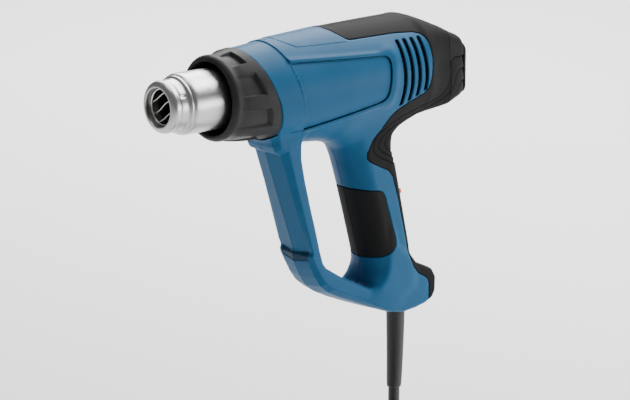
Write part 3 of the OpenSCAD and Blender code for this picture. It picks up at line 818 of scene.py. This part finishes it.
# Outer radius of the guard along X
GUARD = profile(
    [
        (30, 26.6), (39, 27.6), (43.5, 28.4), (46.2, 28.0), (48.5, 28.3), (52, 29.2), (58, 30.1),
        (66, 31.0), (90, 32.0),
    ],
    1.0,
)
# Pockets: how many, front, end before the seam, and the slope of their walls. Half width
# and depth are those at the front, and then what is added by the rear
POCKETS, POCKET_FRONT, POCKET_END, POCKET_SLOPE = 8, 46.5, 7.6, 0.95
POCKET_HALF, POCKET_DEPTH = (6.7, 1.1), (0.25, 2.5)


def guard_field(x, y, z):
    """Heat guard: a round lip, pockets that deepen towards the rear, and a slanted seam."""
    r = np.hypot(y, z)
    body = r - GUARD(x)
    turn = 2 * math.pi / POCKETS
    phi = np.arctan2(y, z)
    off = phi - (np.floor(phi / turn) + 0.5) * turn
    arc = off * np.minimum(r, 31.0)
    back = SEAM_X - z * math.tan(SEAM_LEAN) - POCKET_END
    along = np.clip((x - POCKET_FRONT) / np.maximum(back - POCKET_FRONT, 4.0), 0, 1)
    half = POCKET_HALF[0] + POCKET_HALF[1] * along
    depth = POCKET_DEPTH[0] + POCKET_DEPTH[1] * along
    rise = np.clip(r - GUARD(x) + depth, -0.5, 4.0)
    sides = np.abs(arc) - half - POCKET_SLOPE * (rise - depth)
    walls = np.maximum(sides, x - back - 0.9 * (rise - depth))
    pocket = np.maximum(np.maximum(walls * 0.8, -rise), POCKET_FRONT - x)
    body = smax(body, -pocket, 0.3)
    body = smax(body, GUARD_FRONT_X - x, 5.0)
    inner = np.where(x < GUARD_FRONT_X + 9, SOCKET_R - 0.6, SOCKET_R + 0.4)
    body = smax(body, inner - r, 2.2)
    return smax(body, -before_seam(x, z, -GUARD_GAP), 0.7)


GUARD_BOX = (37.0, -34.0, -34.0), (90.0, 34.0, 34.0)
field_piece(
    "guard_shell", guard_field, *GUARD_BOX, "guard_plastic", ["heat_guard"], "guard", CELL * 0.95
)


def ring_faces(n, sides):
    """Quads of a closed ring surface with n points in each of its sections."""
    faces = []
    for a in range(sides):
        b = (a + 1) % sides
        faces += [(a * n + i, a * n + (i + 1) % n, b * n + (i + 1) % n, b * n + i) for i in range(n)]
    return faces


def lathe(profile_points, sides, bend=None):
    """Closed ring surface turned about the barrel axis from (x, radius) points.

    bend(x, radius, angle) is added to the radius.
    """
    n = len(profile_points)
    turn = np.arange(sides) * 2 * math.pi / sides
    px, pr = np.array(profile_points, float).T
    x = np.repeat(px[None, :], sides, 0)
    r = np.repeat(pr[None, :], sides, 0)
    a = np.repeat(turn[:, None], n, 1)
    if bend:
        r = r + bend(x, r, a)
    verts = np.stack([x, r * np.cos(a), r * np.sin(a)], -1).reshape(-1, 3)
    return verts, ring_faces(n, sides)


def smooth_line(points, step, passes=2):
    """Points along a line, close together, with its corners rounded."""
    p = np.array(points, float)
    for _ in range(passes):
        q = np.empty((2 * len(p) - 2, 2))
        q[0::2] = 0.75 * p[:-1] + 0.25 * p[1:]
        q[1::2] = 0.25 * p[:-1] + 0.75 * p[1:]
        p = np.vstack([p[:1], q, p[-1:]])
    out = [p[0]]
    for a, b in zip(p, p[1:]):
        k = max(1, int(np.linalg.norm(b - a) / step))
        out += [a + (b - a) * (j + 1) / k for j in range(k)]
    return [tuple(v) for v in out]


SHEET, DENT_TURNS, DENT_DEPTH = 0.8, (60, 150, 240, 330), 0.75
# Steel tube from the mouth back: (x, radius) of its outside, then of its inside
outer_line = [
    (9.0, MOUTH_R + 0.4), (0.9, MOUTH_R + 0.4), (0.1, MOUTH_R + 0.6), (-0.3, MOUTH_R + 1.0),
    (-0.1, SPIGOT_R - 2.6), (0.9, SPIGOT_R - 0.9), (2.6, SPIGOT_R + 0.1), (4.4, SPIGOT_R + 0.1),
    (5.2, SPIGOT_R - 0.35), (6.2, SPIGOT_R - 0.35), (7.0, SPIGOT_R), (12.0, SPIGOT_R),
    (12.6, SPIGOT_R + 0.7), (13.4, SPIGOT_R + 1.6), (14.2, SPIGOT_R + 1.7), (14.7, SPIGOT_R + 1.6),
    (15.4, TUBE_R - 0.7), (16.8, TUBE_R), (22.0, TUBE_R), (60.0, TUBE_R), (96.0, TUBE_R),
]
inner_line = [
    (96.0, TUBE_R - SHEET), (60.0, TUBE_R - SHEET), (17.0, TUBE_R - SHEET), (13.6, SPIGOT_R - SHEET),
    (2.8, SPIGOT_R - SHEET), (1.8, SPIGOT_R - 1.6), (1.4, MOUTH_R + 1.8), (2.2, MOUTH_R + 1.2),
    (9.0, MOUTH_R + 1.1),
]


def dents(x, r, a):
    """Short lengthwise dents that hold the push-on nozzles."""
    out = 0.0
    for turn in DENT_TURNS:
        d = (np.degrees(a) - turn + 180) % 360 - 180
        across = np.radians(d) * SPIGOT_R
        along = ramp(x, 6.3, 7.4) * ramp(-x, -11.4, -10.2)
        out = out - DENT_DEPTH * np.exp(-((across / 0.9) ** 2)) * along
    return out * (r > MOUTH_R + 2)


ring = smooth_line(outer_line, 0.9) + smooth_line(inner_line, 2.5)
verts, faces = lathe(ring, 240, dents)
add_piece("nozzle", verts, faces, "nozzle_steel", ["nozzle_tube"])


def strip_line(a, b, wave):
    """Points across the mouth in (y, z), with a soft S bend."""
    a, b = np.array(a, float), np.array(b, float)
    side = np.array((-(b - a)[1], (b - a)[0])) / np.linalg.norm(b - a)
    steps = np.linspace(0, 1, 19)
    return [a + (b - a) * t + side * wave * math.sin(2 * math.pi * t) for t in steps]


def sheet_strip(line, x0, x1, thick):
    """A bent strip of sheet that follows a line in (y, z), from x0 to x1."""
    line = np.array(line)
    t = np.gradient(line, axis=0)
    side = np.stack([-t[:, 1], t[:, 0]], 1) / np.linalg.norm(t, axis=1)[:, None] * thick / 2
    ringed = []
    for x, s in ((x0, 1), (x1, 1), (x1, -1), (x0, -1)):
        ringed.append(np.column_stack([np.full(len(line), x), line + s * side]))
    n = len(line)
    verts = np.concatenate(ringed)
    faces = [(0, 3 * n, 2 * n, n), (n - 1, 2 * n - 1, 3 * n - 1, 4 * n - 1)]
    for j in range(4):
        a, b = j * n, (j + 1) % 4 * n
        faces += [(a + i, b + i, b + i + 1, a + i + 1) for i in range(n - 1)]
    return verts, faces


# Ring of the strips, then the strips: place across the mouth and depth of the S bend
RING_X, RING_OUT, RING_IN = (3.4, 6.0), MOUTH_R - 0.1, MOUTH_R - 0.8
STRIPS = ((6.8, 0.4), (0.0, 0.8), (-6.8, 0.4))
STRIP_X, STRIP_TURN, STRIP_THICK = (3.6, 5.0), math.radians(31), 0.5
section = [(RING_X[0], RING_OUT), (RING_X[0], RING_IN), (RING_X[1], RING_IN), (RING_X[1], RING_OUT)]
verts, faces = lathe(section, 96)
faces = [f[::-1] for f in faces]
across = np.array((math.sin(STRIP_TURN), math.cos(STRIP_TURN)))
along = np.array((-math.cos(STRIP_TURN), math.sin(STRIP_TURN)))
for offset, wave in STRIPS:
    reach = math.sqrt((MOUTH_R - 0.9) ** 2 - offset**2)
    line = strip_line(across * offset - along * reach, across * offset + along * reach, wave)
    v, f = sheet_strip(line, *STRIP_X, STRIP_THICK)
    faces = faces + [tuple(i + len(verts) for i in q) for q in f]
    verts = np.vstack([verts, v])
add_piece("mouth_strips", verts, faces, "bar_steel", ["mouth_bars"])

# ------------------------------------------------------------------ lead


def turned(line, sides, place):
    """Ring surface about an upright line from (radius, z) points; place(z) is the line."""
    n = len(line)
    pr, pz = np.array(line, float).T
    a = (np.arange(sides) * 2 * math.pi / sides)[:, None]
    cx, cy = place(pz[None, :] + 0 * a)
    verts = np.stack([cx + pr * np.cos(a), cy + pr * np.sin(a), pz[None, :] + 0 * a], -1)
    return verts.reshape(-1, 3), [f[::-1] for f in ring_faces(n, sides)]


def relief_axis(z):
    """Middle of the strain relief at a height: it leans forward a little as it comes down."""
    drop = np.clip((-170 - z) / 56, 0, 1)
    return CORD_X + 0.8 - 1.0 * drop + 0.3 * np.sin(math.pi * drop) + 0 * z, 0 * z


# Outside of the strain relief from its top: (radius, z)
relief = [
    (CORD_D / 2 + 0.1, -151.0), (6.3, -151.0), (6.4, -160.0), (6.45, -171.5), (6.3, -178.0),
    (6.05, -190.0), (5.75, -203.0), (5.45, -215.0), (5.25, -222.0), (5.1, -224.6), (4.8, -225.6),
    (CORD_D / 2 + 0.1, -226.0),
]
verts, faces = turned(smooth_line(relief, 1.6, 1), 64, relief_axis)
add_piece("lead_relief", verts, faces, "lead_rubber", ["strain_relief"])

# Lead from the relief to the coil, and from the coil to the plug
ROUTE = [
    (203.8, 0, -226), (203.8, 0, -232), (203.5, 0, -240), (201.6, 0, -248), (198, 0, -255),
    (193, 0, -261.5), (186.5, 0, -266.5), (179, 0, -269.8), (171, 0, -271), (163, 0, -271),
    (155, 0, -271), (147, 0, -271), (139, 0, -271), (131, 0, -271),
]
TAIL = [
    (112, 0.5, -263.5), (102, 1.5, -266), (92, 3, -269), (82, 4, -270.6), (72, 4.6, -271),
    (60, 5, -271),
]
# Coil of two layers: its middle, its inner and outer turn, and the turns in each layer
COIL_AT, COIL_IN, COIL_OUT, COIL_TURNS = (122.0, -64.0), 31.6, 64.0, 4
# Height of the lead's middle in the coil's lower and upper layer
LAYER = (FLOOR_Z + CORD_D / 2, FLOOR_Z + CORD_D / 2 + CORD_D + 0.1)


def coil_points(per_turn=24):
    """Inwards along the floor, half a turn up, outwards on top, half a turn on the rim."""
    out = []
    for k in range(int((2 * COIL_TURNS + 1) * per_turn) + 1):
        t = k / per_turn
        inward = min(t, COIL_TURNS)
        outward = min(max(t - COIL_TURNS - 0.5, 0), COIL_TURNS)
        r = COIL_OUT + (COIL_IN - COIL_OUT) * (inward - outward) / COIL_TURNS
        climb = ramp(np.float64(t), COIL_TURNS, COIL_TURNS + 0.5)
        a = math.radians(90) + 2 * math.pi * t
        z = LAYER[0] + (LAYER[1] - LAYER[0]) * float(climb)
        out.append((COIL_AT[0] + r * math.cos(a), COIL_AT[1] + r * math.sin(a), z))
    return out


curve = bpy.data.curves.new("mains_lead", "CURVE")
curve.dimensions = "3D"
curve.bevel_depth = CORD_D / 2 * MM
curve.bevel_resolution = 6
curve.use_fill_caps = True
curve.resolution_u = 4
lead_points = ROUTE + coil_points() + TAIL
spline = curve.splines.new("BEZIER")
spline.bezier_points.add(len(lead_points) - 1)
for b, p in zip(spline.bezier_points, lead_points):
    b.co = row(p)
    b.handle_left_type = b.handle_right_type = "AUTO"
curve.materials.append(FINISH["lead_rubber"])
lead = bpy.data.objects.new("mains_lead", curve)
bpy.context.collection.objects.link(lead)
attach(lead, "gun")
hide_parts("mains_cord", "cord_tail", "cord_coil")

# Strap: where round the coil, its outer and inner height
TIE_AT, TIE_TOP, TIE_UNDER = math.radians(200), 17.5, 16.35


def tie_field(x, y, z):
    """Strap round the turns: a rounded band, closed under the coil."""
    dx, dy = x - COIL_AT[0], y - COIL_AT[1]
    out = dx * math.cos(TIE_AT) + dy * math.sin(TIE_AT)
    side = -dx * math.sin(TIE_AT) + dy * math.cos(TIE_AT)
    mid, half = (COIL_IN + COIL_OUT) / 2, (COIL_OUT - COIL_IN) / 2 + CORD_D / 2
    up = z - FLOOR_Z
    outer = smax(np.abs(out - mid) - half - 1.4, up - TIE_TOP, 4.5)
    inner = smax(np.abs(out - mid) - half - 0.2, up - TIE_UNDER, 3.2)
    band = smax(smax(outer, -inner, 0.2), np.abs(side) - 7, 0.6)
    buckle = smax(np.abs(out - mid - 4) - 9, np.abs(side) - 8, 1.5)
    buckle = smax(buckle, np.abs(up - TIE_TOP - 0.1) - 0.9, 0.8)
    return np.maximum(np.minimum(band, buckle), 0.15 - up)


TIE_BOX, PLUG_BOX = ((50, -100, -276), (102, -62, -255)), ((22, -16, -276), (62, 26, -246))
PINS_BOX = (5, -9, -266), (28, 19, -257)
LEAD_CELL = 0.5
field_piece("lead_tie", tie_field, *TIE_BOX, "tie", ["coil_tie"], cell=LEAD_CELL)

# Plug: its end at the lead, place across, length, height of its middle, half distance
# of its pins, and their radius and length
PLUG_X, PLUG_Y, PLUG_LONG, PLUG_MID = 60.0, 5.0, 34.0, 13.0
PIN_AT, PIN_R, PIN_LONG = 9.5, 2.4, 19.0


def plug_field(x, y, z):
    """Moulded plug that lies on the floor with its pins towards -X."""
    u, v, up = x - (PLUG_X - PLUG_LONG), y - PLUG_Y, z - FLOOR_Z
    half_y = 18.0 - 4.5 * ramp(u, 10, 34) - 1.2 * ramp(-u, -3, 0.5)
    half_z = PLUG_MID - ramp(u, 6, 30)
    body = smax(np.abs(v) - half_y, np.abs(up - PLUG_MID) - half_z, 11.0)
    body = smax(body, np.maximum(-u, u - PLUG_LONG + 3), 4.0)
    waist = np.exp(-(((u - 15) / 5.0) ** 2)) * 1.6 * ramp(np.abs(v), 8, 16)
    wide = ramp(-np.abs(u - 15), -7.5, -5) * ramp(np.abs(v), 9, 14)
    ribs = 0.35 * np.cos((u - 15) * 2 * math.pi / 3.0) * wide
    boss = smax(np.hypot(v, up - 5.4) - 5.3, np.maximum(24 - u, u - PLUG_LONG), 1.0)
    return smax(smin(body + waist + ribs, boss, 4.0), 0.05 - up, 0.5)


field_piece("plug", plug_field, *PLUG_BOX, "plug_rubber", ["plug_body"], cell=LEAD_CELL)


def pins_field(x, y, z):
    """Two round pins with a shallow groove each."""
    u, up = x - (PLUG_X - PLUG_LONG), z - FLOOR_Z - PLUG_MID
    r = np.hypot(np.abs(y - PLUG_Y) - PIN_AT, up)
    groove = 0.25 * ramp(-np.abs(u + 7), -1.0, -0.2)
    pin = smax(r - PIN_R + groove, -u - PIN_LONG, 1.6)
    return np.maximum(pin, u - 0.4)


PINS_CELL = 0.28
field_piece("plug_contacts", pins_field, *PINS_BOX, "pin_metal", ["plug_pins"], cell=PINS_CELL)

# ------------------------------------------------------------------ controls in the back


def back_box(s, half, far=7.0):
    """Corners of a box round a piece of this half width that sits at s down the back."""
    x, z = on_back(s)
    return (x - far, -half - 1.0, z - far - 3), (x + far + 3, half + 1.0, z + far + 3)


def slider_field(x, y, z):
    """Slider of the stage switch: a plate, a grooved ridge and the neck in the slot."""
    s, out = back_frame(x, z)
    d, w = s - SLIDER_AT, np.abs(y)
    plate = smax(smax(np.abs(d) - 5.0, w - SLIDER_HALF_W, 3.0), np.abs(out - 1.5) - 1.2, 0.8)
    ridge = smax(np.abs(d) - 2.7 + 0.3 * (out - 2), w - SLIDER_HALF_W, 1.0)
    ridge = smax(ridge, np.abs(out - RIDGE_OUT / 2) - RIDGE_OUT / 2, 0.8)
    grooves = 0.25 * np.cos(w * 2 * math.pi / 2.4) * ramp(out, 2.5, 4)
    neck = np.maximum(np.maximum(np.abs(d) - 2.5, w - 3.0), np.abs(out + 2.6) - 3.4)
    return np.minimum(smin(plate, ridge + grooves, 1.2), neck)


field_piece(
    "stage_slider",
    slider_field,
    *back_box(SLIDER_AT, SLIDER_HALF_W + 1),
    "red_switch",
    ["switch_slider"],
    body="stage_switch",
    cell=0.34,
)


def key_field(at, plus):
    """Key with its mark cut in, a minus or a plus, and its stem."""

    def field(x, y, z):
        s, out = back_frame(x, z)
        d, w = s - at, np.abs(y)
        dome = 0.02 * (d * d + 0.3 * w * w)
        cap = smax(np.abs(d) - KEY_HALF_L, w - KEY_HALF_W, 2.6)
        cap = smax(cap, np.abs(out - KEY_OUT + 1.9) - 1.9 + dome, 0.7)
        mark = smax(np.abs(d) - 0.45, w - 2.2, 0.3)
        if plus:
            mark = np.minimum(mark, smax(np.abs(d) - 2.2, w - 0.45, 0.3))
        cap = smax(cap, -np.maximum(mark, 0.25 - out), 0.2)
        stem = np.maximum(np.hypot(d, y) - 1.5, np.abs(out + 3.6) - 0.9)
        return np.minimum(cap, stem)

    return field


KEY_CELL = 0.3
for sign, at in (("plus", PLUS_AT), ("minus", MINUS_AT)):
    key, box = key_field(at, sign == "plus"), back_box(at, KEY_HALF_W + 0.5)
    nodes, body = [sign + "_button"], sign + "_key"
    field_piece(sign + "_key_cap", key, *box, "key_plastic", nodes, body, KEY_CELL)


def lens_field(x, y, z):
    """Window over the display."""
    s, out = back_frame(x, z)
    plate = smax(np.abs(s - LENS_AT) - LENS_HALF_L, np.abs(y) - LENS_HALF_W, 2.5)
    return smax(plate, np.abs(out + 0.6) - 0.8, 0.5)


LENS_BOX, LENS_CELL = back_box(LENS_AT, 12.5, 11.0), 0.4
field_piece("display_window", lens_field, *LENS_BOX, "lens", ["display_lens"], cell=LENS_CELL)

# ------------------------------------------------------------------ parts kept from CAD

for part in frame["record"]["subparts"]:
    obj = frame["nodes"][part["node"]]
    if not obj.hide_render:
        obj.data.materials.clear()
        obj.data.materials.append(FINISH[part["material_slot"]])

# ------------------------------------------------------------------ floor

SPAN, LEVEL = 3.0, row((0, 0, FLOOR_Z)).z
corners = [(SPAN * i, SPAN * j, LEVEL) for i, j in ((-1, -1), (1, -1), (1, 1), (-1, 1))]
floor_data = bpy.data.meshes.new("floor")
floor_data.from_pydata(corners, [], [(0, 1, 2, 3)])
floor = bpy.data.objects.new("floor", floor_data)
bpy.context.collection.objects.link(floor)
pale = finish_of("pale_floor", (0.86, 0.86, 0.86), 0.7, mottle=0.01, mottle_size=2.0)
floor_data.materials.append(pale)
